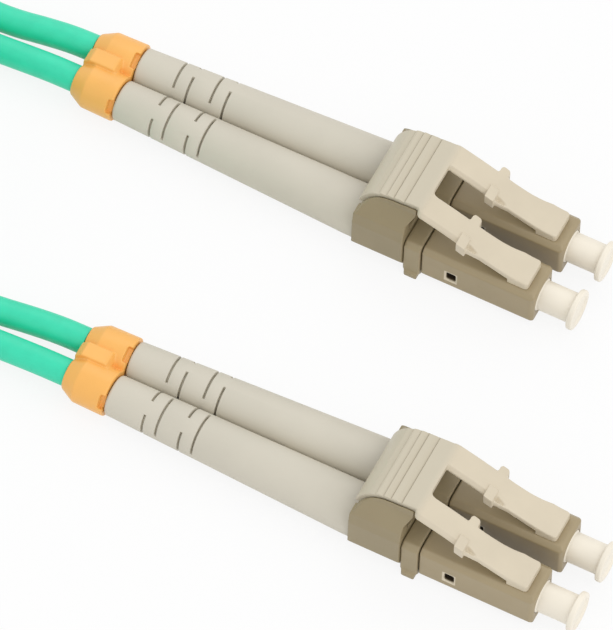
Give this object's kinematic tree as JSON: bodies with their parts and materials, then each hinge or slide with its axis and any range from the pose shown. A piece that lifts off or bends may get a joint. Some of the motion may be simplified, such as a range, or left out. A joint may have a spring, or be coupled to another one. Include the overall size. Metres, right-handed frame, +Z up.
{
  "type": "fiber optic patch cord",
  "caption": "Duplex fibre optic patch cord: square plugs with dust caps and sprung latches, slotted boots, and a thin jacketed pair wound into a strapped coil.",
  "frame": {"origin": "middle of the two connector ends, without the cord, on the surface that the object lies on", "axes": "+X out of the plugs, +Z up on the latch side, +Y towards end a"},
  "size_m": [0.1317, 0.0544, 0.0146],
  "materials": {
    "frame_plastic": "fine matt beige moulded plastic",
    "body_plastic": "fine matt beige moulded plastic",
    "holder_plastic": "fine matt beige moulded plastic",
    "latch_plastic": "light cream moulded plastic, satin",
    "clip_plastic": "amber moulded plastic, satin",
    "boot_rubber": "beige soft moulding, matt",
    "cap_plastic": "milky soft plastic, satin",
    "ceramic": "polished white ceramic",
    "flange_metal": "turned nickel plated metal",
    "spring_steel": "drawn stainless wire",
    "crimp_metal": "satin plated metal",
    "buffer": "smooth extruded plastic",
    "jacket": "aqua extruded plastic, satin",
    "strap_fabric": "black hook and loop tape"
  },
  "bodies": {
    "root": {"a_right_plug_frame": "frame_plastic", "a_right_ferrule_spring": "spring_steel", "a_right_back_body": "body_plastic", "a_right_crimp_sleeve": "crimp_metal", "a_right_buffered_fibre": "buffer", "a_right_jacket_end": "jacket", "a_right_boot": "boot_rubber", "a_left_plug_frame": "frame_plastic", "a_left_ferrule_spring": "spring_steel", "a_left_back_body": "body_plastic", "a_left_crimp_sleeve": "crimp_metal", "a_left_buffered_fibre": "buffer", "a_left_jacket_end": "jacket", "a_left_boot": "boot_rubber", "b_right_plug_frame": "frame_plastic", "b_right_ferrule_spring": "spring_steel", "b_right_back_body": "body_plastic", "b_right_crimp_sleeve": "crimp_metal", "b_right_buffered_fibre": "buffer", "b_right_jacket_end": "jacket", "b_right_boot": "boot_rubber", "b_left_plug_frame": "frame_plastic", "b_left_ferrule_spring": "spring_steel", "b_left_back_body": "body_plastic", "b_left_crimp_sleeve": "crimp_metal", "b_left_buffered_fibre": "buffer", "b_left_jacket_end": "jacket", "b_left_boot": "boot_rubber", "a_duplex_holder": "holder_plastic", "a_latch_feet": "latch_plastic", "a_boot_clip": "clip_plastic", "b_duplex_holder": "holder_plastic", "b_latch_feet": "latch_plastic", "b_boot_clip": "clip_plastic", "lower_lead_a": "jacket", "lower_coil": "jacket", "lower_lead_b": "jacket", "upper_lead_a": "jacket", "upper_coil": "jacket", "upper_lead_b": "jacket", "coil_strap": "strap_fabric"},
    "a_right_cap": {"a_right_dust_cap": "cap_plastic"},
    "a_right_ferrule_unit": {"a_right_ferrule": "ceramic", "a_right_ferrule_flange": "flange_metal"},
    "a_left_cap": {"a_left_dust_cap": "cap_plastic"},
    "a_left_ferrule_unit": {"a_left_ferrule": "ceramic", "a_left_ferrule_flange": "flange_metal"},
    "a_latch": {"a_latch_clip": "latch_plastic"},
    "b_right_cap": {"b_right_dust_cap": "cap_plastic"},
    "b_right_ferrule_unit": {"b_right_ferrule": "ceramic", "b_right_ferrule_flange": "flange_metal"},
    "b_left_cap": {"b_left_dust_cap": "cap_plastic"},
    "b_left_ferrule_unit": {"b_left_ferrule": "ceramic", "b_left_ferrule_flange": "flange_metal"},
    "b_latch": {"b_latch_clip": "latch_plastic"}
  },
  "joints": [
    {"name": "a_right_cap_pull", "type": "slide", "parent": "root", "child": "a_right_cap", "axis": [1, 0, 0], "range_m": [0, 0.006]},
    {"name": "a_right_ferrule_float", "type": "slide", "parent": "root", "child": "a_right_ferrule_unit", "axis": [-1, 0, 0], "range_m": [0, 0.0006], "stiffness_N_per_m": 2000, "deforming": ["a_right_ferrule_spring"]},
    {"name": "a_left_cap_pull", "type": "slide", "parent": "root", "child": "a_left_cap", "axis": [1, 0, 0], "range_m": [0, 0.006]},
    {"name": "a_left_ferrule_float", "type": "slide", "parent": "root", "child": "a_left_ferrule_unit", "axis": [-1, 0, 0], "range_m": [0, 0.0006], "stiffness_N_per_m": 2000, "deforming": ["a_left_ferrule_spring"]},
    {"name": "a_latch_press", "type": "hinge", "parent": "root", "child": "a_latch", "pos_m": [0.01302, 0.0152, 0.00595], "axis": [0, -1, 0], "range_deg": [0, 3.5], "stiffness_Nm_per_rad": 0.9},
    {"name": "b_right_cap_pull", "type": "slide", "parent": "root", "child": "b_right_cap", "axis": [1, 0, 0], "range_m": [0, 0.006]},
    {"name": "b_right_ferrule_float", "type": "slide", "parent": "root", "child": "b_right_ferrule_unit", "axis": [-1, 0, 0], "range_m": [0, 0.0006], "stiffness_N_per_m": 2000, "deforming": ["b_right_ferrule_spring"]},
    {"name": "b_left_cap_pull", "type": "slide", "parent": "root", "child": "b_left_cap", "axis": [1, 0, 0], "range_m": [0, 0.006]},
    {"name": "b_left_ferrule_float", "type": "slide", "parent": "root", "child": "b_left_ferrule_unit", "axis": [-1, 0, 0], "range_m": [0, 0.0006], "stiffness_N_per_m": 2000, "deforming": ["b_left_ferrule_spring"]},
    {"name": "b_latch_press", "type": "hinge", "parent": "root", "child": "b_latch", "pos_m": [0.02802, -0.0152, 0.00595], "axis": [0, -1, 0], "range_deg": [0, 3.5], "stiffness_Nm_per_rad": 0.9}
  ]
}
